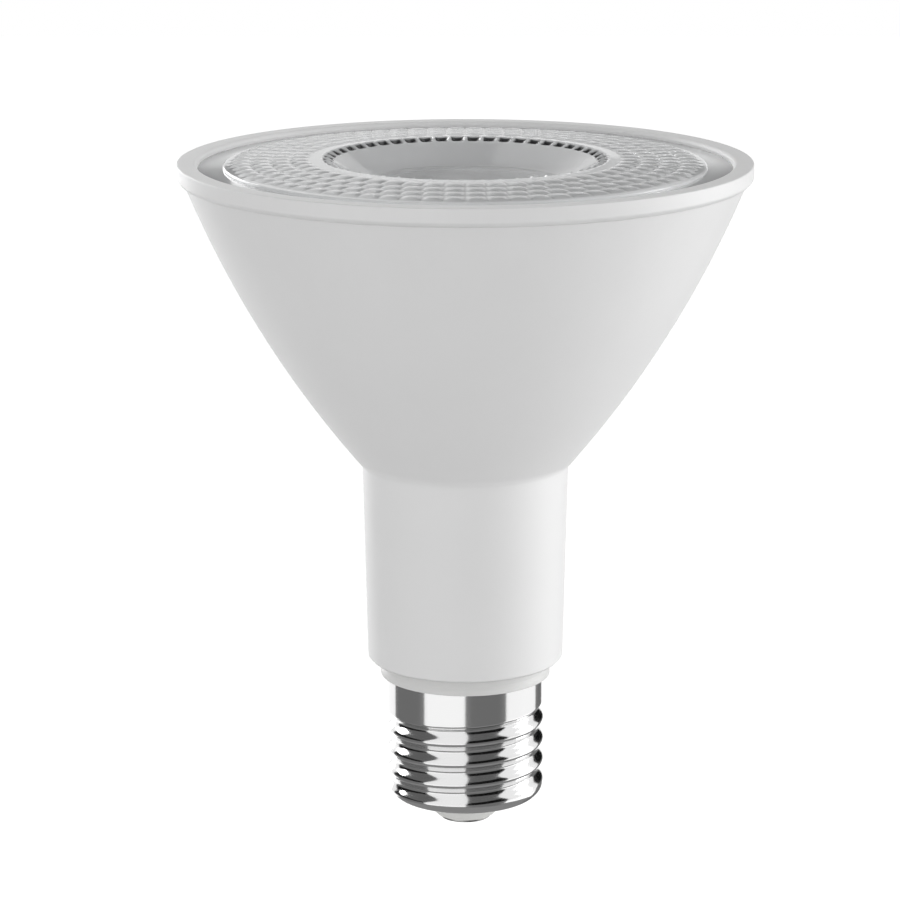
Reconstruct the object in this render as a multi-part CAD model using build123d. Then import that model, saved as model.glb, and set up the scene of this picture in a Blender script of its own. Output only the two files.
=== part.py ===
"""PAR30 long-neck LED spotlight bulb with an E26 screw base.

Millimetres, +Z up towards the lens. The origin is on the lamp's axis, at the
underside of the centre contact. Every piece is a separate solid in its own node.
"""

import os
from math import asin, atan, cos, degrees, pi, sin, sqrt

from build123d import *

# Fits
fit_clearance = 0.12
slide_clearance = 0.1

# Heights, stacked from the centre contact up to the front rim
contact_thickness = 0.5
insulator_drop = 3.6
shell_height = 21.4
collar_height = 2.85
neck_length = 33.2
cone_height = 47.9
bezel_height = 3.05

# Front bezel
rim_diameter = 94.0
bezel_skirt_wall = 1.4
bezel_lip_width = 3.4
bezel_lip_thickness = 1.0
bezel_lip_chamfer = 0.45
bezel_bottom_chamfer = 0.7

# Cone and neck
seam_step = 1.1
crease_diameter = 34.25
neck_end_diameter = 32.7
cone_bulge = 2.26
cone_wall = 2.0
neck_wall = 2.0
neck_end_chamfer = 0.5
spigot_wall = 1.0
lens_seat_width = 1.8
plate_seat_height = 84.0
plate_seat_width = 3.6

# Lens
flange_thickness = 1.6
flange_show = 4.1
disc_edge_rise = 0.9
well_mouth_diameter = 44.8
well_mouth_rise = 1.5
well_border_width = 3.1
well_floor_diameter = 32.8
well_depth = 4.1
lens_wall = 2.0
bump_ring_pitch = 3.2
bump_pitch = 3.3
bump_height = 0.4
bump_gap = 0.3
bump_slope_run = 0.85
bump_root = 0.3
scallop_count = 52
scallop_width = 2.0
scallop_depth = 1.1
scallop_reach = 1.2

# Screw shell, E26: 7 turns to the inch
thread_crest_diameter = 26.4
thread_depth = 1.0
thread_pitch = 3.629
thread_groove_width = 2.8
thread_root_width = 1.0
skirt_length = 3.7
skirt_diameter = 26.1
shell_sheet = 0.35
shell_roll_radius = 2.2
shell_hole_diameter = 17.0
groove_start_angle = 13.0

# Insulator and centre contact
insulator_flange_thickness = 1.6
insulator_tip_diameter = 9.6
contact_diameter = 8.6
contact_edge_chamfer = 0.2
rivet_diameter = 2.2
rivet_stand = 0.6

# Driver cup
cup_wall = 1.2
cup_floor = 1.4
cup_flange_thickness = 1.5
cup_flange_width = 1.1
cup_flange_below_crease = 3.0
collar_bead_height = 1.35
collar_waist = 0.28
spigot_length = 12.0
spigot_bore_wall = 1.4
rib_width = 1.0
rib_depth = 1.6

# Heat spreader, LED board, emitter and screws
plate_thickness = 2.0
led_board_diameter = 44.0
led_board_thickness = 1.6
emitter_side = 13.5
emitter_base = 0.9
emitter_lens_diameter = 11.0
emitter_lens_thickness = 0.6
screw_count = 3
screw_circle_diameter = 35.0
screw_shank_diameter = 2.5
screw_head_diameter = 5.2
screw_head_height = 1.8
screw_slot_width = 0.7
screw_slot_depth = 0.8

# Driver board and what is soldered to it
board_thickness = 1.6
board_height = 30.0
board_edge_gap = 0.3
transformer_width = 13.0
transformer_depth = 8.6
transformer_height = 12.0
transformer_window = 2.2
transformer_foot = 16.0
can_diameter = 8.0
can_height = 13.0
can_groove = 0.4
can_foot = 1.5
can_offset = 5.0
film_width = 8.0
film_depth = 5.0
film_height = 9.0
film_foot = 2.5
film_offset = 5.5
choke_diameter = 8.0
choke_height = 7.0
choke_waist = 1.2
choke_flange = 1.4
choke_head_gap = 2.5
choke_offset = 4.6
rectifier_width = 6.5
rectifier_depth = 2.4
rectifier_height = 4.8
rectifier_foot = 12.5
rectifier_offset = 5.5
chip_width = 5.0
chip_depth = 1.6
chip_height = 4.0
chip_foot = 21.0
chip_offset = 6.0
varistor_diameter = 8.0
varistor_thickness = 3.6
varistor_foot = 2.0
varistor_offset = 5.2
fuse_diameter = 3.0
fuse_length = 9.0
fuse_foot = 2.0
fuse_offset = 5.5

# Lead wires
wire_diameter = 1.2
wire_stub = 0.8
led_lead_spacing = 22.6
neutral_offset = 6.5
neutral_bend = 2.0

# Levels
shell_bottom = contact_thickness + insulator_drop
collar_bottom = shell_bottom + shell_height
neck_end = collar_bottom + collar_height
crease = neck_end + neck_length
seam = crease + cone_height
rim_top = seam + bezel_height
flange_top = rim_top - bezel_lip_thickness
flange_bottom = flange_top - flange_thickness
disc_level = flange_top + disc_edge_rise
mouth_level = flange_top + well_mouth_rise
well_floor = mouth_level - well_depth
thread_top = collar_bottom - skirt_length
thread_bottom = shell_bottom + shell_roll_radius
plug_end = thread_top - spigot_length
cup_seat = crease - cup_flange_below_crease
board_bottom = collar_bottom + cup_floor
board_top = board_bottom + board_height
plate_top = plate_seat_height + plate_thickness
led_board_top = plate_top + led_board_thickness
insulator_top = shell_bottom + shell_sheet + insulator_flange_thickness
rivet_top = insulator_top + rivet_stand

# Radii shared by pieces that fit each other
rim_radius = rim_diameter / 2
bezel_bore = rim_radius - bezel_skirt_wall
spigot_radius = bezel_bore - fit_clearance
flange_seat_radius = spigot_radius - spigot_wall
flange_radius = flange_seat_radius - fit_clearance
lip_radius = rim_radius - bezel_lip_width
cone_top_radius = rim_radius - seam_step
crease_radius = crease_diameter / 2
neck_end_radius = neck_end_diameter / 2
neck_bore = neck_end_radius - neck_wall
cup_radius = neck_bore - fit_clearance
cup_bore = cup_radius - cup_wall
cup_flange_radius = cup_radius + cup_flange_width
thread_crest = thread_crest_diameter / 2
thread_root = thread_crest - thread_depth
skirt_radius = skirt_diameter / 2
skirt_bore = skirt_radius - shell_sheet
thread_bore = thread_root - shell_sheet
plug_radius = thread_bore - fit_clearance
plug_shoulder_radius = skirt_bore - fit_clearance
plug_bore = plug_radius - spigot_bore_wall
wire_radius = wire_diameter / 2


# The cone's outer line is one arc, from the seam down to the crease
chord = sqrt((cone_top_radius - crease_radius) ** 2 + cone_height**2)
arc_radius = (chord**2 / 4 + cone_bulge**2) / (2 * cone_bulge)
lean = asin((cone_top_radius - crease_radius) / chord)
arc_centre_r = (cone_top_radius + crease_radius) / 2 - (arc_radius - cone_bulge) * cos(lean)
arc_centre_z = (seam + crease) / 2 + (arc_radius - cone_bulge) * sin(lean)


def cone_radius(z, inset=0.0):
    """Radius of the cone's arc at a height, moved in by a wall."""
    return arc_centre_r + sqrt((arc_radius - inset) ** 2 - (z - arc_centre_z) ** 2)


def cone_level(radius, inset=0.0):
    """Height at which the cone's arc, moved in by a wall, has a radius."""
    return arc_centre_z - sqrt((arc_radius - inset) ** 2 - (radius - arc_centre_r) ** 2)


def turned(*edges):
    """Solid of revolution about Z from a closed half section of (radius, z)."""
    return revolve(Plane.XZ * make_face(edges), Axis.Z)


def turned_polygon(*points):
    """Solid of revolution about Z from the corners of its half section."""
    return turned(Polyline(*points, close=True))


def rod(radius, start, end):
    """Straight upright rod or hole cutter between two points."""
    return Pos(*start) * Cylinder(
        radius, end[2] - start[2], align=(Align.CENTER, Align.CENTER, Align.MIN)
    )


def block(width, depth, height, x, face, z, side):
    """Box on one face of the driver board, standing off along Y."""
    return Pos(x, side * (face + depth / 2), z) * Box(
        width, depth, height, align=(Align.CENTER, Align.CENTER, Align.MIN)
    )


def make_bezel():
    skirt_end = rim_radius - bezel_bottom_chamfer
    band_end = seam + bezel_bottom_chamfer
    return turned_polygon(
        (lip_radius, flange_top),
        (bezel_bore, flange_top),
        (bezel_bore, seam),
        (skirt_end, seam),
        (rim_radius, band_end),
        (rim_radius, rim_top),
        (lip_radius + bezel_lip_chamfer, rim_top),
        (lip_radius, rim_top - bezel_lip_chamfer),
    )


def make_housing():
    seat_wall = flange_seat_radius - lens_seat_width
    plate_rest = cone_radius(plate_seat_height, cone_wall)
    plate_bore = plate_rest - plate_seat_width
    cup_recess = cup_flange_radius + fit_clearance
    spigot_top = flange_top - slide_clearance
    middle = (seam + crease) / 2
    outer_arc = ThreePointArc(
        (cone_top_radius, seam), (cone_radius(middle), middle), (crease_radius, crease)
    )
    rest = Polyline(
        (crease_radius, crease),
        (neck_end_radius, neck_end + neck_end_chamfer),
        (neck_end_radius - neck_end_chamfer, neck_end),
        (neck_bore, neck_end),
        (neck_bore, cup_seat),
        (cup_recess, cup_seat),
        (cup_recess, cone_level(cup_recess, cone_wall)),
        (plate_bore, cone_level(plate_bore, cone_wall)),
        (plate_bore, plate_seat_height),
        (plate_rest, plate_seat_height),
        (seat_wall, cone_level(seat_wall, cone_wall)),
        (seat_wall, flange_bottom),
        (flange_seat_radius, flange_bottom),
        (flange_seat_radius, spigot_top),
        (spigot_radius, spigot_top),
        (spigot_radius, seam),
        (cone_top_radius, seam),
    )
    return turned(outer_arc, rest)


def make_bump(length, width):
    """One pillow bump: sloped on all four sides, with a root inside the lens."""

    def section(size):
        half = size / 2
        crown = half - bump_slope_run
        return Polyline(
            (-half, -bump_root),
            (half, -bump_root),
            (half, 0),
            (crown, bump_height),
            (-crown, bump_height),
            (-half, 0),
            close=True,
        )

    along = extrude(Plane.XZ * make_face(section(width)), length, both=True)
    across = extrude(Plane.YZ * make_face(section(length)), width, both=True)
    return along & across


def make_lens():
    disc_radius = lip_radius - flange_show
    mouth_radius = well_mouth_diameter / 2
    floor_radius = well_floor_diameter / 2
    border_radius = mouth_radius + well_border_width
    well_slant = sqrt((mouth_radius - floor_radius) ** 2 + well_depth**2)
    wall_out = lens_wall * well_slant / well_depth
    wall_run = (mouth_radius - floor_radius) / well_depth
    under_floor = well_floor - lens_wall
    body = turned_polygon(
        (0, under_floor),
        (floor_radius + wall_out - lens_wall * wall_run, under_floor),
        (mouth_radius + wall_out - (mouth_level - flange_bottom) * wall_run, flange_bottom),
        (flange_radius, flange_bottom),
        (flange_radius, flange_top),
        (disc_radius, flange_top),
        (disc_radius, disc_level),
        (border_radius, disc_level),
        (mouth_radius, mouth_level),
        (floor_radius, well_floor),
        (0, well_floor),
    )
    bump_rings = int((disc_radius - border_radius) / bump_ring_pitch)
    bumps = []
    for ring in range(bump_rings):
        ring_radius = border_radius + (ring + 0.5) * bump_ring_pitch
        count = round(2 * pi * ring_radius / bump_pitch)
        bump = make_bump(2 * pi * ring_radius / count - bump_gap, bump_ring_pitch - bump_gap)
        spots = PolarLocations(ring_radius, count, start_angle=ring * 180 / count)
        bumps += [spot * Pos(0, 0, disc_level) * bump for spot in spots]
    bumped = body.fuse(*bumps)
    border_fall = (mouth_level - disc_level) / well_border_width
    notch = Polyline(
        (0, -scallop_depth),
        (scallop_width, scallop_depth),
        (-scallop_width, scallop_depth),
        close=True,
    )
    notch_rise = scallop_depth / scallop_reach - border_fall
    wedge = extrude(Plane.YZ * make_face(notch), 2 * scallop_reach, both=True)
    cutter = Pos(0, 0, mouth_level) * Rot(0, -degrees(atan(notch_rise)), 0) * wedge
    return bumped - [spot * cutter for spot in PolarLocations(mouth_radius, scallop_count)]


def make_shell():
    hole = shell_hole_diameter / 2
    roll_start = thread_crest - shell_roll_radius
    roll = ThreePointArc(
        (thread_crest, thread_bottom),
        (
            roll_start + shell_roll_radius * cos(pi / 4),
            thread_bottom - shell_roll_radius * sin(pi / 4),
        ),
        (roll_start, shell_bottom),
    )
    inside = shell_bottom + shell_sheet
    rest = Polyline(
        (roll_start, shell_bottom),
        (hole, shell_bottom),
        (hole, inside),
        (thread_bore, inside),
        (thread_bore, thread_top),
        (skirt_bore, thread_top),
        (skirt_bore, collar_bottom),
        (skirt_radius, collar_bottom),
        (skirt_radius, thread_top),
        (thread_crest, thread_top - (thread_crest - skirt_radius)),
        (thread_crest, thread_bottom),
    )
    body = turned(roll, rest)
    flank_run = (thread_groove_width - thread_root_width) / 2
    overcut = shell_sheet
    mouth = thread_groove_width / 2 + flank_run * overcut / thread_depth
    groove = Polyline(
        (thread_root, -thread_root_width / 2),
        (thread_root, thread_root_width / 2),
        (thread_crest + overcut, mouth),
        (thread_crest + overcut, -mouth),
        close=True,
    )
    groove_rise = thread_top - shell_sheet - mouth - thread_bottom
    path = Helix(thread_pitch, groove_rise, thread_root)
    cutter = sweep(Plane.XZ * make_face(groove), path=path, is_frenet=True)
    turn = groove_start_angle - 360 * groove_rise / thread_pitch
    return body - Pos(0, 0, thread_bottom) * Rot(0, 0, turn) * cutter


def make_insulator():
    neck = shell_hole_diameter / 2 - fit_clearance
    flange = thread_bore - fit_clearance
    inside = shell_bottom + shell_sheet
    rivet_hole = rivet_diameter / 2 + slide_clearance
    return turned_polygon(
        (rivet_hole, contact_thickness),
        (insulator_tip_diameter / 2, contact_thickness),
        (neck, shell_bottom),
        (neck, inside),
        (flange, inside),
        (flange, insulator_top),
        (rivet_hole, insulator_top),
    )


def make_contact():
    disc = rod(contact_diameter / 2, (0, 0, 0), (0, 0, contact_thickness))
    disc = chamfer(disc.edges().group_by(Axis.Z)[0], contact_edge_chamfer)
    return disc + rod(rivet_diameter / 2, (0, 0, 0), (0, 0, rivet_top))


def make_cup():
    flange_top_level = cup_seat + cup_flange_thickness
    bead_top = collar_bottom + collar_bead_height
    waist = cup_radius - collar_waist
    body = turned_polygon(
        (plug_bore, plug_end),
        (plug_radius, plug_end),
        (plug_radius, thread_top),
        (plug_shoulder_radius, thread_top),
        (plug_shoulder_radius, collar_bottom),
        (cup_radius, collar_bottom),
        (cup_radius, bead_top),
        (waist, bead_top),
        (waist, neck_end),
        (cup_radius, neck_end),
        (cup_radius, cup_seat),
        (cup_flange_radius, cup_seat),
        (cup_flange_radius, flange_top_level),
        (cup_bore, flange_top_level),
        (cup_bore, board_bottom),
        (plug_bore, board_bottom),
    )
    rib_offset = board_thickness / 2 + slide_clearance + rib_width / 2
    rib_reach = cup_bore + cup_wall / 2
    ribs = [
        Pos(side * (rib_reach - (rib_depth + cup_wall / 2) / 2), face * rib_offset, board_bottom)
        * Box(
            rib_depth + cup_wall / 2,
            rib_width,
            flange_top_level - board_bottom,
            align=(Align.CENTER, Align.CENTER, Align.MIN),
        )
        for side in (-1, 1)
        for face in (-1, 1)
    ]
    return body + ribs


def make_spreader():
    rest = cone_radius(plate_seat_height, cone_wall) - fit_clearance
    plate = rod(rest, (0, 0, plate_seat_height), (0, 0, plate_top))
    holes = [
        spot * rod(screw_shank_diameter / 2 + slide_clearance, (0, 0, 0), (0, 0, plate_top))
        for spot in PolarLocations(screw_circle_diameter / 2, screw_count, start_angle=90)
    ]
    return plate - holes - lead_holes()


def lead_holes():
    """Cutters for the two LED leads, through the plate and the LED board."""
    return [
        rod(wire_radius + slide_clearance, (x, 0, board_top), (x, 0, led_board_top + wire_stub))
        for x in (-led_lead_spacing / 2, led_lead_spacing / 2)
    ]


def make_led_board():
    board = rod(led_board_diameter / 2, (0, 0, plate_top), (0, 0, led_board_top))
    holes = [
        spot * rod(screw_shank_diameter / 2 + fit_clearance, (0, 0, 0), (0, 0, led_board_top))
        for spot in PolarLocations(screw_circle_diameter / 2, screw_count, start_angle=90)
    ]
    return board - holes - lead_holes()


def make_emitter():
    base = Pos(0, 0, led_board_top) * Box(
        emitter_side, emitter_side, emitter_base, align=(Align.CENTER, Align.CENTER, Align.MIN)
    )
    top = led_board_top + emitter_base
    return base + rod(
        emitter_lens_diameter / 2, (0, 0, top), (0, 0, top + emitter_lens_thickness)
    )


def make_screws():
    shank = rod(screw_shank_diameter / 2, (0, 0, plate_seat_height), (0, 0, led_board_top))
    head_top = led_board_top + screw_head_height
    head = rod(screw_head_diameter / 2, (0, 0, led_board_top), (0, 0, head_top))
    slot = Pos(0, 0, head_top) * Box(screw_head_diameter, screw_slot_width, 2 * screw_slot_depth)
    screw = shank + head - slot
    return [
        spot * screw
        for spot in PolarLocations(screw_circle_diameter / 2, screw_count, start_angle=90)
    ]


board_face = board_thickness / 2


def make_driver_board():
    half_width = sqrt((cup_bore - board_edge_gap) ** 2 - board_face**2)
    return Pos(0, 0, board_bottom) * Box(
        2 * half_width,
        board_thickness,
        board_height,
        align=(Align.CENTER, Align.CENTER, Align.MIN),
    )


def make_transformer():
    core = block(
        transformer_width,
        transformer_depth,
        transformer_height,
        0,
        board_face,
        board_bottom + transformer_foot,
        1,
    )
    window = Pos(0, board_face + transformer_depth / 2, board_bottom + transformer_foot) * Box(
        transformer_width - 2 * transformer_window,
        transformer_depth,
        transformer_height - 2 * transformer_window,
        align=(Align.CENTER, Align.CENTER, Align.MIN),
    )
    winding_radius = transformer_depth / 2 - slide_clearance
    winding = Pos(0, board_face + transformer_depth / 2, board_bottom + transformer_foot) * Cylinder(
        winding_radius,
        transformer_height,
        align=(Align.CENTER, Align.CENTER, Align.MIN),
    )
    return core - Pos(0, 0, transformer_window) * window + winding


def make_can():
    radius = can_diameter / 2
    foot = board_bottom + can_foot
    groove = foot + can_height / 5
    can = turned_polygon(
        (0, foot),
        (radius, foot),
        (radius, groove - can_groove),
        (radius - can_groove, groove),
        (radius, groove + can_groove),
        (radius, foot + can_height),
        (0, foot + can_height),
    )
    return Pos(-can_offset, board_face + slide_clearance + radius, 0) * can


def make_film_capacitor():
    body = block(
        film_width, film_depth, film_height, film_offset, board_face, board_bottom + film_foot, 1
    )
    return chamfer(body.faces().sort_by(Axis.Y)[-1].edges(), film_depth / 10)


def make_choke():
    radius = choke_diameter / 2
    drum = turned_polygon(
        (0, 0),
        (radius, 0),
        (radius, choke_flange),
        (radius - choke_waist, choke_flange),
        (radius - choke_waist, choke_height - choke_flange),
        (radius, choke_height - choke_flange),
        (radius, choke_height),
        (0, choke_height),
    )
    level = board_top - choke_head_gap - radius
    return Pos(-choke_offset, -board_face, level) * Rot(90, 0, 0) * drum


def make_rectifier():
    body = block(
        rectifier_width,
        rectifier_depth,
        rectifier_height,
        rectifier_offset,
        board_face,
        board_bottom + rectifier_foot,
        -1,
    )
    return chamfer(body.faces().sort_by(Axis.Y)[0].edges(), rectifier_depth / 10)


def make_chip():
    body = block(
        chip_width, chip_depth, chip_height, chip_offset, board_face, board_bottom + chip_foot, -1
    )
    return chamfer(body.faces().sort_by(Axis.Y)[0].edges(), chip_depth / 8)


def make_varistor():
    radius = varistor_diameter / 2
    disc = Cylinder(radius, varistor_thickness, align=(Align.CENTER, Align.CENTER, Align.MIN))
    disc = chamfer(disc.edges().group_by(Axis.Z)[-1], varistor_thickness / 4)
    level = board_bottom + varistor_foot + radius
    return Pos(-varistor_offset, -board_face, level) * Rot(90, 0, 0) * disc


def make_fuse():
    radius = fuse_diameter / 2
    foot = board_bottom + fuse_foot
    body = rod(radius, (0, 0, foot), (0, 0, foot + fuse_length))
    body = chamfer(body.edges().filter_by(GeomType.CIRCLE), radius / 3)
    return Pos(fuse_offset, -board_face - slide_clearance - radius, 0) * body


def make_led_leads():
    return [
        rod(wire_radius, (x, 0, board_top), (x, 0, led_board_top + wire_stub))
        for x in (-led_lead_spacing / 2, led_lead_spacing / 2)
    ]


def make_live_lead():
    return rod(wire_radius, (0, 0, rivet_top), (0, 0, board_bottom))


def make_neutral_lead():
    turn_level = plug_end - slide_clearance - wire_radius
    reach = thread_bore - fit_clearance
    path = FilletPolyline(
        (-neutral_offset, 0, board_bottom),
        (-neutral_offset, 0, turn_level),
        (-reach, 0, turn_level),
        radius=neutral_bend,
    )
    start = Plane(origin=path @ 0, z_dir=path % 0)
    return sweep(start * Circle(wire_radius), path=path)


nodes = {
    "front_bezel": make_bezel(),
    "lens": make_lens(),
    "cone_housing": make_housing(),
    "driver_cup": make_cup(),
    "screw_shell": make_shell(),
    "base_insulator": make_insulator(),
    "centre_contact": make_contact(),
    "heat_spreader": make_spreader(),
    "led_board": make_led_board(),
    "led_emitter": make_emitter(),
    "board_screws": Compound(children=make_screws()),
    "driver_board": make_driver_board(),
    "transformer": make_transformer(),
    "electrolytic_capacitor": make_can(),
    "film_capacitor": make_film_capacitor(),
    "inductor": make_choke(),
    "bridge_rectifier": make_rectifier(),
    "driver_chip": make_chip(),
    "varistor": make_varistor(),
    "fuse_resistor": make_fuse(),
    "led_leads": Compound(children=make_led_leads()),
    "live_lead": make_live_lead(),
    "neutral_lead": make_neutral_lead(),
}

os.makedirs("parts", exist_ok=True)
for name, shape in nodes.items():
    export_step(shape, f"parts/{name}.step")
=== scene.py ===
"""Visual model of a white PAR30 spotlight bulb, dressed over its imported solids."""

import math

import bmesh
import bpy
from bpy.props import FloatProperty, FloatVectorProperty, IntProperty, PointerProperty
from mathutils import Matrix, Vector


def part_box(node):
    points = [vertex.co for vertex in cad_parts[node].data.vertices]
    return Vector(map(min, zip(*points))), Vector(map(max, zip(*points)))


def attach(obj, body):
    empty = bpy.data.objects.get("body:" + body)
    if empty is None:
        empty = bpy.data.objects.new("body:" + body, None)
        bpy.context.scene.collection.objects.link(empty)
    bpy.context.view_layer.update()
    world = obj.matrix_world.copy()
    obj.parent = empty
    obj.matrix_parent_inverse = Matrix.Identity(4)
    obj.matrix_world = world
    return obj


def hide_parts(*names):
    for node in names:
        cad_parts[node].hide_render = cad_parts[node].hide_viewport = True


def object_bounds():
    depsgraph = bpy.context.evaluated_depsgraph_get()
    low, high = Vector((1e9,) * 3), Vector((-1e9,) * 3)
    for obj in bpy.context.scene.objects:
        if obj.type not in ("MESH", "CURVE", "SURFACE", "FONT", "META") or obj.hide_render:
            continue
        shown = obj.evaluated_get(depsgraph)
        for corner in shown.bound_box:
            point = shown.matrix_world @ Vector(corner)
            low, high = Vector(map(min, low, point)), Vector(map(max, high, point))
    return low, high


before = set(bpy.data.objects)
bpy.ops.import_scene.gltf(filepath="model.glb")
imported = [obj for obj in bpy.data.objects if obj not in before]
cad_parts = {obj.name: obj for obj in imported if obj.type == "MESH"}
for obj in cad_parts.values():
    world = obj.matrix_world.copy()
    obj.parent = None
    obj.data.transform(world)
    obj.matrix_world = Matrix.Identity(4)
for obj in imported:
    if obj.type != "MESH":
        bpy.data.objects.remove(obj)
cad_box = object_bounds()

bl_info = {
    "name": "PAR spotlight bulb",
    "version": (1, 0, 0),
    "blender": (4, 5, 0),
    "location": "3D View > Sidebar > Spot Bulb",
    "description": "Builds the finished pieces of a PAR30 spotlight bulb and its studio",
    "category": "Object",
}

MM = 0.001
# Points nearer than this are one point
WELD = 0.001 * MM
# Flat sides of a turned piece
TURN_STEPS = 192
# Edges that turn further than this stay crisp
CRISP_ANGLE = math.radians(60)


def reach(node):
    """Largest radius of a round node about the bulb's axis."""
    low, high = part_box(node)
    return max(high.x, high.y, -low.x, -low.y)


def floor_of(node):
    """Level of a node's lowest point."""
    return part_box(node)[0].z


def top_of(node):
    """Level of a node's highest point."""
    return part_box(node)[1].z


def linear(hex_colour):
    """An sRGB hex colour as linear red, green, blue and full alpha."""
    parts = [int(hex_colour[i : i + 2], 16) / 255 for i in (0, 2, 4)]
    return (*[c / 12.92 if c <= 0.04045 else ((c + 0.055) / 1.055) ** 2.4 for c in parts], 1.0)


# What a user may change


def length(name, description, millimetres):
    """A size, given in millimetres."""
    return FloatProperty(
        name=name, description=description, default=millimetres * MM, min=0.0, precision=5, unit="LENGTH"
    )


def bearing(name, description, degrees):
    """An angle, given in degrees."""
    return FloatProperty(
        name=name, description=description, default=math.radians(degrees), subtype="ANGLE", unit="ROTATION"
    )


def light_level(name, description, level, unit="NONE"):
    """A strength or power of light."""
    return FloatProperty(name=name, description=description, default=level, min=0.0, unit=unit)


def colour(name, description, hex_colour):
    """A colour, given as sRGB hex."""
    return FloatVectorProperty(
        name=name,
        description=description,
        default=linear(hex_colour),
        size=4,
        min=0.0,
        max=1.0,
        subtype="COLOR",
    )


class SpotBulbSizes(bpy.types.PropertyGroup):
    """Sizes of the moulded and rolled forms: the solids' own, with softer edges, bumps and scallops."""

    crease_level: length("Crease level", "Height where the cone meets the neck", 61.55)
    crease_diameter: length("Crease diameter", "Outside of the bulb where cone meets neck", 34.25)
    neck_end_diameter: length("Neck end diameter", "Outside of the neck at its lower end", 32.7)
    cone_bulge: length("Cone bulge", "How far the cone's line bows out from straight", 2.26)
    seam_step: length("Seam step", "How far the bezel stands proud of the cone", 1.1)
    wall: length("Wall", "Thickness of the cone's and the neck's wall", 2.0)
    plate_ledge: length("Plate ledge", "Width of the ledge that carries the heat spreader", 3.6)
    moulded_round: length("Moulded round", "Radius on the moulded outer edges", 0.25)
    bezel_wall: length("Bezel wall", "Thickness of the bezel's skirt", 1.4)
    bezel_lip: length("Bezel lip", "Width of the bezel's flat front face", 3.4)
    bezel_lip_thickness: length("Bezel lip thickness", "Thickness of the bezel's front face", 1.0)
    bezel_chamfer: length("Bezel chamfer", "Slope under the bezel's band", 0.7)
    lip_chamfer: length("Lip chamfer", "Slope at the bezel's inner edge", 0.45)
    neck_chamfer: length("Neck chamfer", "Slope at the neck's lower end", 0.5)
    fit: length("Fit", "Gap between pieces that fit in each other", 0.12)
    spigot_wall: length("Spigot wall", "Wall of the cone's spigot inside the bezel", 1.0)
    lens_seat: length("Lens seat", "Width of the shelf under the lens", 1.8)
    air_film: length("Air film", "Gap that keeps the clear lens off its white shelf", 0.05)
    flange_show: length("Flange show", "Smooth flange between the bezel and the raised disc", 4.1)
    flange_thickness: length("Flange thickness", "Thickness of the lens flange", 1.6)
    disc_edge: length("Disc edge", "Height of the raised disc's edge over the flange", 0.55)
    disc_round: length("Disc round", "Radius on the raised disc's edge", 0.45)
    lens_wall: length("Lens wall", "Thickness of the lens under the well", 2.0)
    well_mouth: length("Well mouth", "Diameter of the well at its scalloped rim", 44.8)
    well_floor: length("Well floor", "Diameter of the well's floor", 32.8)
    well_depth: length("Well depth", "Depth of the well below its rim", 4.1)
    well_border: length("Well border", "Smooth ring between the well and the bumps", 3.1)
    bump_ring: length("Bump ring", "Width of one ring of bumps", 3.2)
    bump_pitch: length("Bump pitch", "Spacing of the bumps along a ring", 3.3)
    bump_height: length("Bump height", "Height of one bump", 0.25)
    scallop_depth: length("Scallop depth", "Depth of the notches in the well's rim", 1.0)
    scallop_reach: length("Scallop reach", "How far a notch runs to each side of the rim", 0.9)
    scallops: IntProperty(name="Scallops", description="Notches round the well", default=52, min=3)
    thread_pitch: length("Thread pitch", "Pitch of the screw base's thread", 3.629)
    thread_depth: length("Thread depth", "Depth of the rolled thread", 1.0)
    thread_level: length("Thread level", "Height of the top groove on the +X side", 19.6)
    thread_runout: length("Thread run-out", "Height over which the top groove meets the plain band", 1.1)
    skirt_length: length("Skirt length", "Plain band above the thread", 3.7)
    skirt_diameter: length("Skirt diameter", "Outside of the plain band", 26.1)
    sheet: length("Sheet", "Thickness of the rolled metal sheet", 0.35)
    roll_radius: length("Roll radius", "Round at the lower end of the shell", 2.2)
    shell_hole: length("Shell hole", "Hole in the shell's lower end", 17.0)
    collar_bead: length("Collar bead", "Height of the collar's lower bead", 1.35)
    collar_waist: length("Collar waist", "How far the collar steps in above the bead", 0.28)
    collar_round: length("Collar round", "Radius on the edges of the collar and its cup", 0.12)
    cup_wall: length("Cup wall", "Wall of the driver cup", 1.2)
    cup_seat_drop: length("Cup seat drop", "How far below the crease the cup's flange sits", 3.0)
    plug_wall: length("Plug wall", "Wall of the cup's plug inside the shell", 1.4)
    plug_tip: length("Plug tip", "Diameter of the insulator at the contact", 9.6)
    insulator_round: length("Insulator round", "Radius on the insulator's edges", 0.3)
    rivet: length("Rivet", "Diameter of the contact's rivet", 2.2)
    rivet_gap: length("Rivet gap", "Gap between the rivet and the insulator", 0.1)
    contact_round: length("Contact round", "Radius on the contact's edges", 0.15)


class SpotBulbColours(bpy.types.PropertyGroup):
    """Colours of the finishes that show."""

    plastic: colour("White plastic", "Moulded housing and bezel", "E7E7E7")
    plastic_shade: colour("White plastic shade", "Faint clouding in the white plastic", "E3E3E3")
    lens: colour("Lens", "Clear optical plastic", "F5F6F7")
    # Painted shade: the dark colour that the lens's creases and scallop notches are mixed towards
    scallop: colour("Scallops", "Shade in the notches and creases of the lens", "2A2A2C")
    nickel: colour("Nickel", "Bright plated sheet", "F2F2F0")
    insulator: colour("Insulator", "Pale moulded insulator", "ECECEA")
    insulator_shade: colour("Insulator shade", "Fine speckle in the insulator", "E6E6E3")
    collar: colour("Collar", "Moulded collar and driver cup", "DBDBDA")
    collar_shade: colour("Collar shade", "Faint clouding in the collar", "D6D6D5")
    contact: colour("Contact", "Plated centre contact", "B8B8B6")
    contact_shade: colour("Contact shade", "Scuffs on the contact", "A4A4A2")


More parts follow.
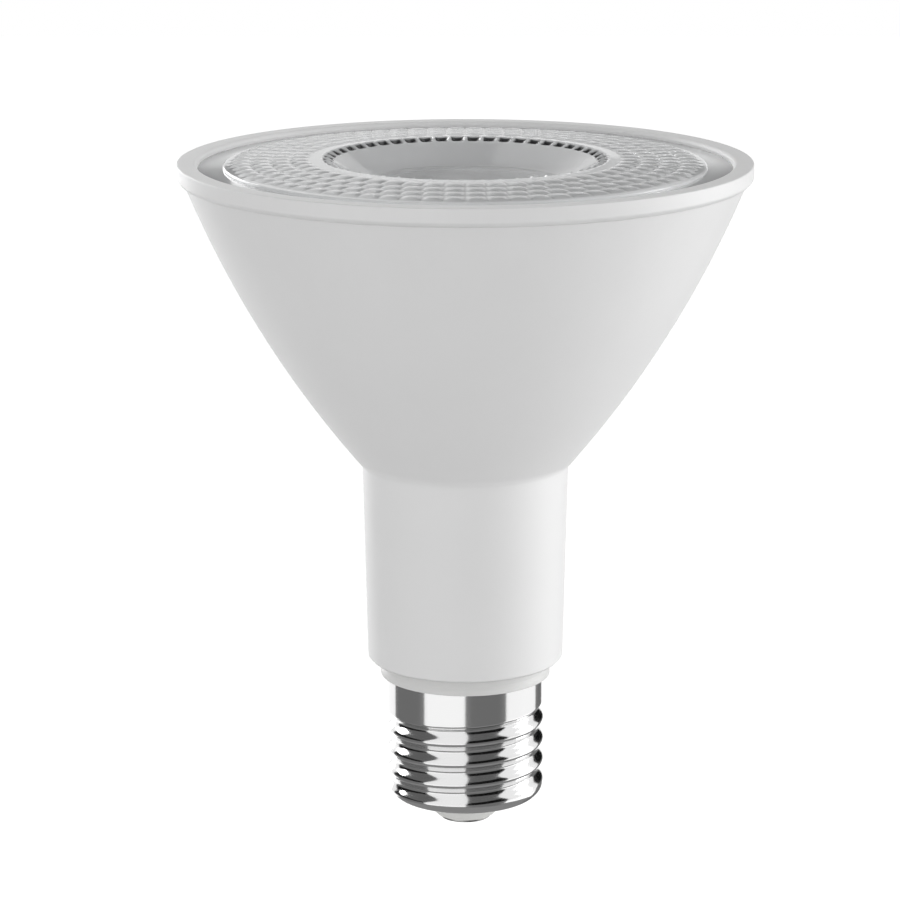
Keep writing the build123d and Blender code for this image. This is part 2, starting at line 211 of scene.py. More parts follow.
class SpotBulbStudio(bpy.types.PropertyGroup):
    """Camera, light and cards round the bulb."""

    camera_distance: length("Camera distance", "Level distance from the bulb's axis", 564.05)
    camera_height: length("Camera height", "Height above the contact", 200.43)
    camera_tilt: bearing("Camera tilt", "Angle below level", 13.609)
    focal_length: FloatProperty(
        name="Focal length", description="Camera lens", default=139.64, unit="CAMERA"
    )
    frame_shift: FloatProperty(
        name="Frame shift", description="Share of the frame that the bulb is right of centre", default=0.017
    )
    floor_drop: length("Floor drop", "Floor below the contact", 350.0)
    floor_reach: length("Floor reach", "Half the side of the floor", 4000.0)
    floor_lift: light_level("Floor lift", "Glow that lifts the floor to white where it is seen", 0.65)
    paper: colour("Paper", "Floor paper", "E6E6E6")
    card_distance: length("Card distance", "Distance of the back card from the axis", 300.0)
    horizon: light_level("Horizon", "Strength of the soft light at the horizon", 1.6)
    zenith: light_level("Zenith", "Strength of the soft light overhead", 0.05)
    softbox_distance: length("Softbox distance", "Distance of the softboxes from the bulb's middle", 900.0)
    softbox_height: length("Softbox height", "Height of the softboxes", 800.0)
    softbox_elevation: bearing("Softbox elevation", "Angle of the softboxes above level", 10)
    right_azimuth: bearing("Right azimuth", "Right softbox from the camera's side", 100)
    right_width: length("Right width", "Width of the right softbox", 350.0)
    right_power: light_level("Right softbox", "Power of the right softbox", 3.4, "POWER")
    left_azimuth: bearing("Left azimuth", "Left softbox from the camera's side", -148)
    left_width: length("Left width", "Width of the left softbox", 180.0)
    left_power: light_level("Left softbox", "Power of the left softbox", 2.6, "POWER")


class SpotBulbSettings(bpy.types.PropertyGroup):
    """All that a user may change."""

    sizes: PointerProperty(type=SpotBulbSizes)
    colours: PointerProperty(type=SpotBulbColours)
    studio: PointerProperty(type=SpotBulbStudio)


def settings():
    """The sizes, colours and studio of the open scene."""
    return bpy.context.scene.spot_bulb


# Mesh helpers


def lathe(points, steps=TURN_STEPS):
    """Turn a closed half section of (radius, height) points about Z."""
    mesh = bmesh.new()
    ring = [mesh.verts.new((radius, 0, height)) for radius, height in points]
    edges = [mesh.edges.new(pair) for pair in zip(ring, ring[1:] + ring[:1])]
    bmesh.ops.spin(
        mesh,
        geom=ring + edges,
        cent=(0, 0, 0),
        axis=(0, 0, 1),
        angle=math.tau,
        steps=steps,
        use_merge=True,
    )
    bmesh.ops.remove_doubles(mesh, verts=mesh.verts, dist=WELD)
    bmesh.ops.dissolve_degenerate(mesh, edges=mesh.edges, dist=WELD)
    bmesh.ops.recalc_face_normals(mesh, faces=mesh.faces)
    return mesh


def round_edges(mesh, width, chosen=lambda radius, height: True, sharper_than=math.radians(25), segments=3):
    """Round the mesh's sharp edges, or those of them at chosen radii and heights."""
    sharp = []
    for edge in mesh.edges:
        middle = (edge.verts[0].co + edge.verts[1].co) / 2
        if edge.is_manifold and edge.calc_face_angle() > sharper_than:
            if chosen(middle.xy.length + WELD, middle.z - WELD):
                sharp.append(edge)
    bmesh.ops.bevel(
        mesh,
        geom=sharp,
        offset=width,
        offset_type="OFFSET",
        affect="EDGES",
        segments=segments,
        profile=0.5,
        material=-1,
        clamp_overlap=True,
    )
    # Two rounds that meet on a narrow step leave a face of no width between them
    bmesh.ops.remove_doubles(mesh, verts=mesh.verts, dist=WELD)


def arc(centre, radius, start, end, count):
    """Points on an arc in the half section, from one angle to another."""
    return [
        (centre[0] + radius * math.cos(a), centre[1] + radius * math.sin(a))
        for a in (start + (end - start) * i / count for i in range(count + 1))
    ]


def smoothstep(low, high, value):
    """Soft rise from 0 at the low value to 1 at the high one."""
    share = min(1.0, max(0.0, (value - low) / (high - low)))
    return share * share * (3 - 2 * share)


def swell(turns):
    """Soft wave: 1 at each whole turn, and 0 half-way between them."""
    return 0.5 + 0.5 * math.cos(math.tau * turns)


def place(name, mesh, maker, node):
    """Make the finished object for a node, in its maker's material, riding on the bulb's one body."""
    data = bpy.data.meshes.new(name)
    mesh.to_mesh(data)
    mesh.free()
    data.shade_smooth()
    data.set_sharp_from_angle(angle=CRISP_ANGLE)
    data.materials.append(bpy.data.materials.get(maker.__name__) or maker())
    piece = bpy.data.objects.new(name, data)
    bpy.context.scene.collection.objects.link(piece)
    even = piece.modifiers.new("even_shading", "WEIGHTED_NORMAL")
    even.keep_sharp = True
    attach(piece, "root")
    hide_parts(node)


# Materials: each one that a piece asks for has its function's name, and pieces share it

# Refraction of polycarbonate, which the collar's polyester comes close to
PLASTIC_IOR = 1.58
# A Mix node's sockets for colours, whose names its other sockets share
MIX_FACTOR, MIX_FIRST, MIX_SECOND, MIX_RESULT = 0, 6, 7, 2


def add(tree, kind, links=None, **options):
    """Add a shader node with its options, and set or link its inputs."""
    made = tree.nodes.new(kind)
    for key, value in options.items():
        setattr(made, key, value)
    for socket, source in (links or {}).items():
        if isinstance(source, bpy.types.NodeSocket):
            tree.links.new(source, made.inputs[socket])
        else:
            made.inputs[socket].default_value = source
    return made


def blank_material(name):
    """A new material, and its node tree with nothing in it."""
    material = bpy.data.materials.new(name)
    material.use_nodes = True
    tree = material.node_tree
    tree.nodes.clear()
    return material, tree


def surface(tree, shader):
    """End a material with its shader."""
    add(tree, "ShaderNodeOutputMaterial", {"Surface": shader.outputs[0]})


def grain_finish(tree, grain, gloss, relief, sockets):
    """End a material in which one grain sets the gloss and a fine relief.

    The gloss is the roughness at the grain's lowest and highest, and the relief is its strength and depth.
    """
    smoothest, roughest = gloss
    strength, depth = relief
    varied = add(tree, "ShaderNodeMapRange", {"Value": grain, "To Min": smoothest, "To Max": roughest})
    uneven = add(tree, "ShaderNodeBump", {"Height": grain, "Strength": strength, "Distance": depth})
    from_grain = {"Roughness": varied.outputs["Result"], "Normal": uneven.outputs["Normal"]}
    surface(tree, add(tree, "ShaderNodeBsdfPrincipled", sockets | from_grain))


def white_moulding(name, first, second):
    """Injection-moulded plastic: satin white, faintly clouded, with faint darker streaks under the seam."""
    material, tree = blank_material(name)
    at = add(tree, "ShaderNodeTexCoord").outputs["Object"]
    # Clouding about 14 mm across, where the melt ran thicker
    cloud = add(tree, "ShaderNodeTexNoise", {"Vector": at, "Scale": 1 / (14 * MM), "Detail": 3.0})
    # Faint darker streaks 2.5 mm apart, drawn out along the axis
    drawn = add(tree, "ShaderNodeMapping", {"Vector": at, "Scale": (1.0, 1.0, 0.06)})
    streaks = add(
        tree, "ShaderNodeTexNoise", {"Vector": drawn.outputs[0], "Scale": 1 / (2.5 * MM), "Detail": 2.0}
    )
    # The streaks fade out 14 mm below the seam
    height = add(tree, "ShaderNodeSeparateXYZ", {"Vector": at}).outputs["Z"]
    seam = floor_of("front_bezel")
    near_seam = add(
        tree,
        "ShaderNodeMapRange",
        {"Value": height, "From Min": seam - 14 * MM, "From Max": seam, "To Min": 0.0, "To Max": 0.9},
    )
    shown = add(
        tree,
        "ShaderNodeMath",
        {0: streaks.outputs["Fac"], 1: near_seam.outputs["Result"]},
        operation="MULTIPLY",
    )
    mixed = add(
        tree,
        "ShaderNodeMath",
        {0: cloud.outputs["Fac"], 1: shown.outputs[0]},
        operation="ADD",
        use_clamp=True,
    )
    base = add(
        tree,
        "ShaderNodeMix",
        {MIX_FACTOR: mixed.outputs[0], MIX_FIRST: first, MIX_SECOND: second},
        data_type="RGBA",
    )
    # Spark-eroded grain of about 0.1 mm, drawn at 0.4 mm so that it shows
    grain = add(tree, "ShaderNodeTexNoise", {"Vector": at, "Scale": 1 / (0.4 * MM), "Detail": 2.0})
    sockets = {"Base Color": base.outputs[MIX_RESULT], "IOR": PLASTIC_IOR}
    grain_finish(tree, grain.outputs["Fac"], gloss=(0.48, 0.6), relief=(0.08, 0.02 * MM), sockets=sockets)
    return material


def white_polycarbonate():
    """Moulded polycarbonate of the housing and the bezel: clean satin white."""
    colours = settings().colours
    return white_moulding("white_polycarbonate", colours.plastic, colours.plastic_shade)


def white_polyester():
    """Moulded polyester of the collar and its cup: satin, a shade greyer than the neck."""
    colours = settings().colours
    return white_moulding("white_polyester", colours.collar, colours.collar_shade)


def clear_polycarbonate():
    """Clear optical moulding: glossy and see-through, its bumps breaking up what lies behind."""
    material, tree = blank_material("clear_polycarbonate")
    colours = settings().colours
    at = add(tree, "ShaderNodeTexCoord").outputs["Object"]
    # Faint haze patches about 6 mm across
    haze = add(tree, "ShaderNodeTexNoise", {"Vector": at, "Scale": 1 / (6 * MM), "Detail": 4.0})
    gloss = add(
        tree, "ShaderNodeMapRange", {"Value": haze.outputs["Fac"], "To Min": 0.04, "To Max": 0.09}
    )
    # The flange and the bumps are milky; the creases and scallops get painted shade, darker in colour and
    # letting less light through
    frost = add(tree, "ShaderNodeAttribute", attribute_name="frost").outputs["Fac"]
    clear = add(tree, "ShaderNodeMapRange", {"Value": frost, "To Min": 0.85, "To Max": 0.15})
    shade = add(tree, "ShaderNodeAttribute", attribute_name="shade").outputs["Fac"]
    passed = add(
        tree, "ShaderNodeMath", {0: clear.outputs["Result"], 1: shade}, operation="SUBTRACT", use_clamp=True
    )
    # Painted shade mixes the lens colour towards a dark colour in the creases and scallops
    base = add(
        tree,
        "ShaderNodeMix",
        {MIX_FACTOR: shade, MIX_FIRST: colours.lens, MIX_SECOND: colours.scallop},
        data_type="RGBA",
    )
    plastic = add(
        tree,
        "ShaderNodeBsdfPrincipled",
        {
            "Base Color": base.outputs[MIX_RESULT],
            "Roughness": gloss.outputs["Result"],
            "IOR": PLASTIC_IOR,
            "Transmission Weight": passed.outputs[0],
        },
    )
    surface(tree, plastic)
    return material


def nickel_plate():
    """Bright nickel on drawn sheet: mirror-like, with faint drawing lines round the shell."""
    material, tree = blank_material("nickel_plate")
    at = add(tree, "ShaderNodeTexCoord").outputs["Object"]
    # Drawing lines 0.15 mm apart, long round the shell and fine along it
    lines = add(tree, "ShaderNodeMapping", {"Vector": at, "Scale": (0.05, 0.05, 1.0)})
    drawn = add(
        tree, "ShaderNodeTexNoise", {"Vector": lines.outputs[0], "Scale": 1 / (0.15 * MM), "Detail": 2.0}
    )
    sockets = {"Base Color": settings().colours.nickel, "Metallic": 1.0}
    grain_finish(tree, drawn.outputs["Fac"], gloss=(0.03, 0.1), relief=(0.03, 0.01 * MM), sockets=sockets)
    return material


def grained(name, first, second, roughness, grain, metallic=0.0, stretch=(1, 1, 1), depth=0.02):
    """A finish that varies between two colours over a grain of a real size and depth in millimetres."""
    material, tree = blank_material(name)
    at = add(tree, "ShaderNodeTexCoord").outputs["Object"]
    drawn = add(tree, "ShaderNodeMapping", {"Vector": at, "Scale": stretch})
    noise = add(
        tree, "ShaderNodeTexNoise", {"Vector": drawn.outputs[0], "Scale": 1 / (grain * MM), "Detail": 3.0}
    )
    base = add(
        tree,
        "ShaderNodeMix",
        {MIX_FACTOR: noise.outputs["Fac"], MIX_FIRST: first, MIX_SECOND: second},
        data_type="RGBA",
    )
    spread = 0.06
    gloss = (roughness - spread, roughness + spread)
    sockets = {"Base Color": base.outputs[MIX_RESULT], "Metallic": metallic}
    grain_finish(tree, noise.outputs["Fac"], gloss, relief=(0.3, depth * MM), sockets=sockets)
    return material


def pale_urea():
    """Pressed urea moulding: dull off-white with a fine speckle."""
    colours = settings().colours
    return grained("pale_urea", colours.insulator, colours.insulator_shade, roughness=0.45, grain=0.5)


def plated_brass():
    """Plated brass button: grey metal, finely scuffed."""
    colours = settings().colours
    return grained(
        "plated_brass",
        colours.contact,
        colours.contact_shade,
        roughness=0.28,
        grain=0.3,
        metallic=1.0,
        depth=0.01,
    )


# Cone and neck, bezel and collar

# Rows of points up the cone's outside, and inside it above and below the heat spreader's ledge
CONE_ROWS = 28
ABOVE_LEDGE_ROWS = 14
BELOW_LEDGE_ROWS = 8


def cone_arc(inset=0.0):
    """Centre and radius of the arc that is the cone's line, moved in by a wall."""
    sizes = settings().sizes
    top = (reach("front_bezel") - sizes.seam_step, floor_of("front_bezel"))
    low = (sizes.crease_diameter / 2, sizes.crease_level)
    chord = math.dist(top, low)
    radius = (chord**2 / 4 + sizes.cone_bulge**2) / (2 * sizes.cone_bulge)
    lean = math.asin((top[0] - low[0]) / chord)
    away = radius - sizes.cone_bulge
    centre = (
        (top[0] + low[0]) / 2 - away * math.cos(lean),
        (top[1] + low[1]) / 2 + away * math.sin(lean),
    )
    return centre, radius - inset


def cone_points(low, high, inset, count):
    """Points up the cone's line between two heights."""
    centre, radius = cone_arc(inset)
    start = math.asin((low - centre[1]) / radius)
    end = math.asin((high - centre[1]) / radius)
    return arc(centre, radius, start, end, count)


class SPOT_BULB_OT_housing(bpy.types.Operator):
    """Moulded cone and neck in one wall"""

    bl_idname = "spot_bulb.housing"
    bl_label = "Cone housing"

    def execute(self, context):
        sizes = settings().sizes
        seam = floor_of("front_bezel")
        neck_end = floor_of("cone_housing")
        spigot_top = top_of("cone_housing")
        spigot = reach("front_bezel") - sizes.bezel_wall - sizes.fit
        lens_bore = spigot - sizes.spigot_wall
        lens_shelf = top_of("front_bezel") - sizes.bezel_lip_thickness - sizes.flange_thickness
        shelf = lens_bore - sizes.lens_seat
        plate_level = floor_of("heat_spreader")
        plate_bore = reach("heat_spreader") + sizes.fit - sizes.plate_ledge
        neck = sizes.neck_end_diameter / 2
        neck_bore = neck - sizes.wall
        cup_recess = reach("driver_cup") + sizes.fit
        cup_seat = sizes.crease_level - sizes.cup_seat_drop
        centre, inner = cone_arc(sizes.wall)

        def inside(radius):
            """Level of the cone's inner face at a radius."""
            return centre[1] - math.sqrt(inner**2 - (radius - centre[0]) ** 2)

        outline = [(neck - sizes.neck_chamfer, neck_end), (neck, neck_end + sizes.neck_chamfer)]
        outline += cone_points(sizes.crease_level, seam, 0.0, CONE_ROWS)
        outline += [
            (spigot, seam),
            (spigot, spigot_top),
            (lens_bore, spigot_top),
            (lens_bore, lens_shelf),
            (shelf, lens_shelf),
        ]
        outline += cone_points(plate_level, inside(shelf), sizes.wall, ABOVE_LEDGE_ROWS)[::-1]
        outline += [(plate_bore, plate_level)]
        outline += cone_points(inside(cup_recess), inside(plate_bore), sizes.wall, BELOW_LEDGE_ROWS)[::-1]
        outline += [(cup_recess, cup_seat), (neck_bore, cup_seat), (neck_bore, neck_end)]
        mesh = lathe(outline)
        round_edges(mesh, sizes.moulded_round, sharper_than=math.radians(50))
        place("cone_housing_moulding", mesh, white_polycarbonate, "cone_housing")
        return {"FINISHED"}


class SPOT_BULB_OT_bezel(bpy.types.Operator):
    """Moulded ring that clips the lens to the cone"""

    bl_idname = "spot_bulb.bezel"
    bl_label = "Front bezel"

    def execute(self, context):
        sizes = settings().sizes
        outer = reach("front_bezel")
        low, high = floor_of("front_bezel"), top_of("front_bezel")
        under = high - sizes.bezel_lip_thickness
        bore = outer - sizes.bezel_wall
        lip = outer - sizes.bezel_lip
        mesh = lathe(
            [
                (bore, low),
                (outer - sizes.bezel_chamfer, low),
                (outer, low + sizes.bezel_chamfer),
                (outer, high),
                (lip + sizes.lip_chamfer, high),
                (lip, high - sizes.lip_chamfer),
                (lip, under),
                (bore, under),
            ]
        )
        round_edges(mesh, sizes.moulded_round, lambda radius, height: radius > bore or height > under)
        place("front_bezel_ring", mesh, white_polycarbonate, "front_bezel")
        return {"FINISHED"}


class SPOT_BULB_OT_collar(bpy.types.Operator):
    """Driver cup, of which the stepped collar shows under the neck"""

    bl_idname = "spot_bulb.collar"
    bl_label = "Collar and driver cup"

    def execute(self, context):
        sizes = settings().sizes
        flange = reach("driver_cup")
        low, high = floor_of("driver_cup"), top_of("driver_cup")
        cup = sizes.neck_end_diameter / 2 - sizes.wall - sizes.fit
        bore = cup - sizes.cup_wall
        base = top_of("screw_shell")
        shoulder = base - sizes.skirt_length
        plug_wide = sizes.skirt_diameter / 2 - sizes.sheet - sizes.fit
        plug = reach("screw_shell") - sizes.thread_depth - sizes.sheet - sizes.fit
        plug_bore = plug - sizes.plug_wall
        neck_end = floor_of("cone_housing")
        seat = sizes.crease_level - sizes.cup_seat_drop
        waist = cup - sizes.collar_waist
        board = floor_of("driver_board")
        mesh = lathe(
            [
                (plug_bore, low),
                (plug, low),
                (plug, shoulder),
                (plug_wide, shoulder),
                (plug_wide, base),
                (cup, base),
                (cup, base + sizes.collar_bead - 2 * sizes.collar_waist),
                (waist, base + sizes.collar_bead),
                (waist, neck_end),
                (cup, neck_end),
                (cup, seat),
                (flange, seat),
                (flange, high),
                (bore, high),
                (bore, board),
                (plug_bore, board),
            ]
        )
        round_edges(mesh, sizes.collar_round)
        place("driver_cup_moulding", mesh, white_polyester, "driver_cup")
        return {"FINISHED"}


# Lens

# Mesh steps along a scallop, and rows of points on the parts of the lens face
SCALLOP_STEPS = 16
WELL_ROWS = 20
BORDER_ROWS = 10
BUMP_ROWS = 8
EDGE_ROWS = 8
# Points within this of the lens face belong to it
FACE_MARGIN = 10 * WELD
# A higher power gives bumps with flatter crowns and narrower creases
CROWN_POWER = 3
# How milky the parts of the lens are, from 0 for clear to 1
EDGE_FROST = 1.0
FLANGE_FROST = 0.35
SMOOTH_FROST = 0.65
BUMP_FROST = 0.6
# Where a bump's creases start, as a share of its half width, and how dark their painted shade gets at its
# sides and ends
SIDE_CREASE_START = 0.55
SIDE_CREASE_PAINTED_SHADE = 0.6
END_CREASE_START = 0.65
END_CREASE_PAINTED_SHADE = 0.3
# Between these shares of the way to a scallop's middle its painted shade comes up
PAINTED_SCALLOP_SHADE_FADE = (0.1, 0.35)


class SPOT_BULB_OT_lens(bpy.types.Operator):
    """Clear lens with rings of pillow bumps and a scalloped well"""

    bl_idname = "spot_bulb.lens"
    bl_label = "Lens"

    def execute(self, context):
        sizes = settings().sizes
        flange_top = top_of("front_bezel") - sizes.bezel_lip_thickness
        flange_low = flange_top - sizes.flange_thickness + sizes.air_film
        flange = reach("lens")
        disc = reach("front_bezel") - sizes.bezel_lip - sizes.flange_show
        disc_edge = flange_top + sizes.disc_edge
        rounding = sizes.disc_round
        mouth, mouth_level = sizes.well_mouth / 2, top_of("lens")
        border = mouth + sizes.well_border
        floor, floor_level = sizes.well_floor / 2, mouth_level - sizes.well_depth
        under = floor_of("lens")
        rings = int((disc - border) / sizes.bump_ring)
        bumps_end = border + rings * sizes.bump_ring
        # The underside follows the slope of the well's wall, a lens wall away from it
        run = (mouth - floor) / sizes.well_depth
        slant = math.dist((mouth, mouth_level), (floor, floor_level))
        out = sizes.lens_wall * slant / sizes.well_depth
        counts = [
            round(math.tau * (border + (ring + 0.5) * sizes.bump_ring) / sizes.bump_pitch)
            for ring in range(rings)
        ]

        def face(radius):
            """Level of the lens face before its bumps and notches: the well's wall, then the dome."""
            if radius < mouth:
                return floor_level + (radius - floor) / run
            return mouth_level + (disc_edge - mouth_level) * (radius - mouth) / (disc - mouth)

        def bumped(radius):
            """Whether a radius is within the rings of bumps."""
            return border - WELD < radius < bumps_end + WELD

        def in_bump(radius, angle):
            """Place across and along the bump at a point, each from -1 to 1."""
            across = (radius - border) / sizes.bump_ring
            ring = max(0, min(int(across), rings - 1))
            return 2 * (across - ring) - 1, 2 * ((angle / math.tau * counts[ring] + ring / 2) % 1.0) - 1

        def bump(radius, angle):
            """Height of the pillow pattern at a point."""
            across, along = in_bump(radius, angle)
            return sizes.bump_height * (1 - abs(across) ** CROWN_POWER) * (1 - abs(along) ** CROWN_POWER)

        def crease(radius, angle):
            """Painted shade of the creases: darkest between neighbours of a ring, and fainter between
            rings.
            """
            across, along = in_bump(radius, angle)
            return max(
                SIDE_CREASE_PAINTED_SHADE * smoothstep(SIDE_CREASE_START, 1.0, abs(along)),
                END_CREASE_PAINTED_SHADE * smoothstep(END_CREASE_START, 1.0, abs(across)),
            )

        def in_scallop(radius, angle):
            """How near a point is to a scallop's middle along the rim and across it, 1 at the middle."""
            along = 1 - abs(2 * ((angle / math.tau * sizes.scallops) % 1.0) - 1)
            return along, max(0.0, 1 - abs(radius - mouth) / sizes.scallop_reach)

        def face_points(start, end, count):
            """Points on the lens face after one radius, up to another."""
            radii = [start + (end - start) * i / count for i in range(1, count + 1)]
            return [(radius, face(radius)) for radius in radii]

        outline = [(0.0, floor_level), (floor / 2, floor_level), (floor, floor_level)]
        outline += face_points(floor, mouth, WELL_ROWS)
        outline += face_points(mouth, border, BORDER_ROWS)
        outline += face_points(border, bumps_end, BUMP_ROWS * rings)
        outline += arc((disc - rounding, disc_edge - rounding), rounding, math.pi / 2, 0.0, EDGE_ROWS)
        outline += [
            (disc, flange_top),
            (flange, flange_top),
            (flange, flange_low),
            (mouth + out - (mouth_level - flange_low) * run, flange_low),
            (floor + out - sizes.lens_wall * run, under),
            (0.0, under),
        ]
        mesh = lathe(outline, SCALLOP_STEPS * sizes.scallops)
        frost = mesh.verts.layers.float.new("frost")
        shade = mesh.verts.layers.float.new("shade")
        for vert in mesh.verts:
            radius = math.hypot(vert.co.x, vert.co.y)
            if disc - rounding - WELD < radius < disc + WELD:
                vert[frost] = EDGE_FROST
            elif radius > disc:
                vert[frost] = FLANGE_FROST
            if radius < floor or abs(vert.co.z - face(radius)) > FACE_MARGIN:
                continue
            angle = math.atan2(vert.co.y, vert.co.x) % math.tau
            if bumped(radius):
                vert.co.z += bump(radius, angle)
                vert[frost] = BUMP_FROST
                # Painted shade darkens the creases between bumps
                vert[shade] = crease(radius, angle)
            else:
                along, across = in_scallop(radius, angle)
                vert.co.z -= sizes.scallop_depth * across * along * (2 - along)
                vert[frost] = SMOOTH_FROST
                # Painted shade darkens the scallop notches towards their middles
                vert[shade] = smoothstep(*PAINTED_SCALLOP_SHADE_FADE, along) * smoothstep(*PAINTED_SCALLOP_SHADE_FADE, across)
        place("front_lens_moulding", mesh, clear_polycarbonate, "lens")
        return {"FINISHED"}


# Screw base

# Flat sides of the shell, and rows of points down its thread and round its rolled end
SHELL_STEPS = 288
THREAD_ROWS = 96
ROLL_ROWS = 14
# Turns from the thread level at which the lowest groove starts, and at which it has its full depth
THREAD_START = (-3.65, -3.35)
# Share of a turn past the +X side over which the top groove runs out
THREAD_END = 0.14


class SPOT_BULB_OT_screw_shell(bpy.types.Operator):
    """Rolled sheet-metal shell with its round thread"""

    bl_idname = "spot_bulb.screw_shell"
    bl_label = "Screw shell"

    def execute(self, context):
        sizes = settings().sizes
        low, high = floor_of("screw_shell"), top_of("screw_shell")
        crest = reach("screw_shell")
        skirt = sizes.skirt_diameter / 2
        thread_top = high - sizes.skirt_length
        thread_low = low + sizes.roll_radius
        inside = low + sizes.sheet
        bore = crest - sizes.thread_depth - sizes.sheet
        row = (thread_low - thread_top) / THREAD_ROWS
        outline = [(skirt - sizes.sheet, high), (skirt, high)]
        outline += [(crest, thread_top + row * i) for i in range(THREAD_ROWS)]
        outline += arc(
            (crest - sizes.roll_radius, thread_low), sizes.roll_radius, 0.0, -math.pi / 2, ROLL_ROWS
        )
        outline += [
            (sizes.shell_hole / 2, low),
            (sizes.shell_hole / 2, inside),
            (bore, inside),
            (bore, thread_top),
            (skirt - sizes.sheet, thread_top),
        ]
        mesh = lathe(outline, SHELL_STEPS)

        def rolled(height, turn, top):
            """Radius of the rolled sheet where the given groove is the top one."""
            above = height - sizes.thread_level - (top + turn) * sizes.thread_pitch
            if above > 0:
                share = min(1.0, above / sizes.thread_runout)
                return skirt - (sizes.thread_depth - crest + skirt) * swell(share / 2)
            groove = round(above / sizes.thread_pitch)
            shown = smoothstep(*THREAD_START, groove + top + turn)
            return crest - sizes.thread_depth * shown * swell(above / sizes.thread_pitch)

        for vert in mesh.verts:
            radius = math.hypot(vert.co.x, vert.co.y)
            if radius < crest - sizes.roll_radius or not low < vert.co.z <= thread_top + WELD:
                continue
            turn = (math.atan2(vert.co.y, vert.co.x) % math.tau) / math.tau
            runs_on = 1 - smoothstep(0.0, THREAD_END, turn)
            wanted = rolled(vert.co.z, turn, -1)
            wanted += runs_on * (rolled(vert.co.z, turn, 0) - wanted)
            wanted = min(radius, wanted)
            vert.co.x *= wanted / radius
            vert.co.y *= wanted / radius
        place("screw_shell_rolled", mesh, nickel_plate, "screw_shell")
        return {"FINISHED"}


class SPOT_BULB_OT_insulator(bpy.types.Operator):
    """Pale cone that holds the contact in the shell's end"""

    bl_idname = "spot_bulb.insulator"
    bl_label = "Base insulator"

    def execute(self, context):
        sizes = settings().sizes
        tip, top = floor_of("base_insulator"), top_of("base_insulator")
        shell = floor_of("screw_shell")
        neck = sizes.shell_hole / 2 - sizes.fit
        flange = reach("base_insulator")
        hole = sizes.rivet / 2 + sizes.rivet_gap
        mesh = lathe(
            [
                (hole, tip),
                (sizes.plug_tip / 2, tip),
                (neck, shell),
                (neck, shell + sizes.sheet),
                (flange, shell + sizes.sheet),
                (flange, top),
                (hole, top),
            ]
        )
        round_edges(mesh, sizes.insulator_round, segments=4)
        place("base_insulator_moulding", mesh, pale_urea, "base_insulator")
        return {"FINISHED"}


class SPOT_BULB_OT_contact(bpy.types.Operator):
    """Flat centre contact and its rivet"""

    bl_idname = "spot_bulb.contact"
    bl_label = "Centre contact"

    def execute(self, context):
        sizes = settings().sizes
        rivet = sizes.rivet / 2
        disc = reach("centre_contact")
        low, high = floor_of("centre_contact"), top_of("centre_contact")
        tip = floor_of("base_insulator")
        mesh = lathe([(0.0, low), (disc, low), (disc, tip), (rivet, tip), (rivet, high), (0.0, high)])
        round_edges(mesh, sizes.contact_round)
        place("centre_contact_button", mesh, plated_brass, "centre_contact")
        return {"FINISHED"}


# Inner pieces

# Each one's finish, two colours, roughness and grain in millimetres, then metallic and the grain's stretch
INNER_FINISHES = {
    # Stamped aluminium: grey, brushed one way
    "heat_spreader": ("stamped_aluminium", "BEBEC1", "C9C9CB", 0.35, 0.3, 1.0, (0.05, 1, 1)),
    # White solder mask: smooth paint with a light orange peel
    "led_board": ("white_solder_mask", "E4E4E0", "ECECE9", 0.4, 0.8),
    # Silicone with phosphor: egg-yellow and finely speckled
    "led_emitter": ("phosphor_silicone", "E8C64F", "F1D36A", 0.5, 0.25),
    # Zinc-plated steel: grey with a faint grain
    "board_screws": ("zinc_plated_steel", "A6A6A8", "B4B4B6", 0.3, 0.3, 1.0),
    # Glass laminate under green mask: deep green, mottled by a weave 0.4 mm apart
    "driver_board": ("green_laminate", "11522B", "175C33", 0.35, 0.4),
    # Sintered ferrite: dull and near black, finely grained
    "transformer": ("sintered_ferrite", "1E1E20", "2A2A2C", 0.6, 0.3),
    # Vinyl sleeve shrunk over a can: glossy black with slow ripples
    "electrolytic_capacitor": ("shrunk_vinyl", "0C0C0E", "141417", 0.25, 1.5),
    # Moulded polyester box: smooth and mustard yellow
    "film_capacitor": ("moulded_polyester", "B4891B", "C0951F", 0.3, 0.6),
    # Ferrite drum: dull and near black, like the transformer's core
    "inductor": ("drum_ferrite", "1C1C1E", "28282A", 0.6, 0.3),
    # Moulded epoxy: matt black
    "bridge_rectifier": ("black_epoxy", "0D0D0D", "171717", 0.55, 0.2),
    # Chip-grade epoxy: black, a little smoother
    "driver_chip": ("chip_epoxy", "0D0D0D", "161616", 0.5, 0.2),
    # Dipped epoxy: glossy blue and a little uneven
    "varistor": ("dipped_epoxy", "173A86", "1D4293", 0.25, 1.2),
    # Resistor cement: matt grey-green and gritty
    "fuse_resistor": ("resistor_cement", "64866F", "6F9079", 0.55, 0.3),
    # Silicone insulation: satin off-white, a shade apart on each run of wire
    "led_leads": ("silicone_led_leads", "D6D6D3", "DEDEDB", 0.35, 0.6),
    "live_lead": ("silicone_live_lead", "D3D3D0", "DBDBD8", 0.35, 0.6),
    "neutral_lead": ("silicone_neutral_lead", "D0D0CE", "D9D9D6", 0.35, 0.6),
}


class SPOT_BULB_OT_inside(bpy.types.Operator):
    """Finishes of the pieces inside, some of which show through the lens"""

    bl_idname = "spot_bulb.inside"
    bl_label = "Inner pieces"

    def execute(self, context):
        for node, (finish, first, second, *rest) in INNER_FINISHES.items():
            look = grained(finish, linear(first), linear(second), *rest)
            for inner_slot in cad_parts[node].material_slots:
                inner_slot.material = look
        return {"FINISHED"}


# Studio: azimuths and elevations of the cards are in degrees, azimuths from the camera's side towards +X

# Flat sides of a curved card
CARD_STEPS = 24
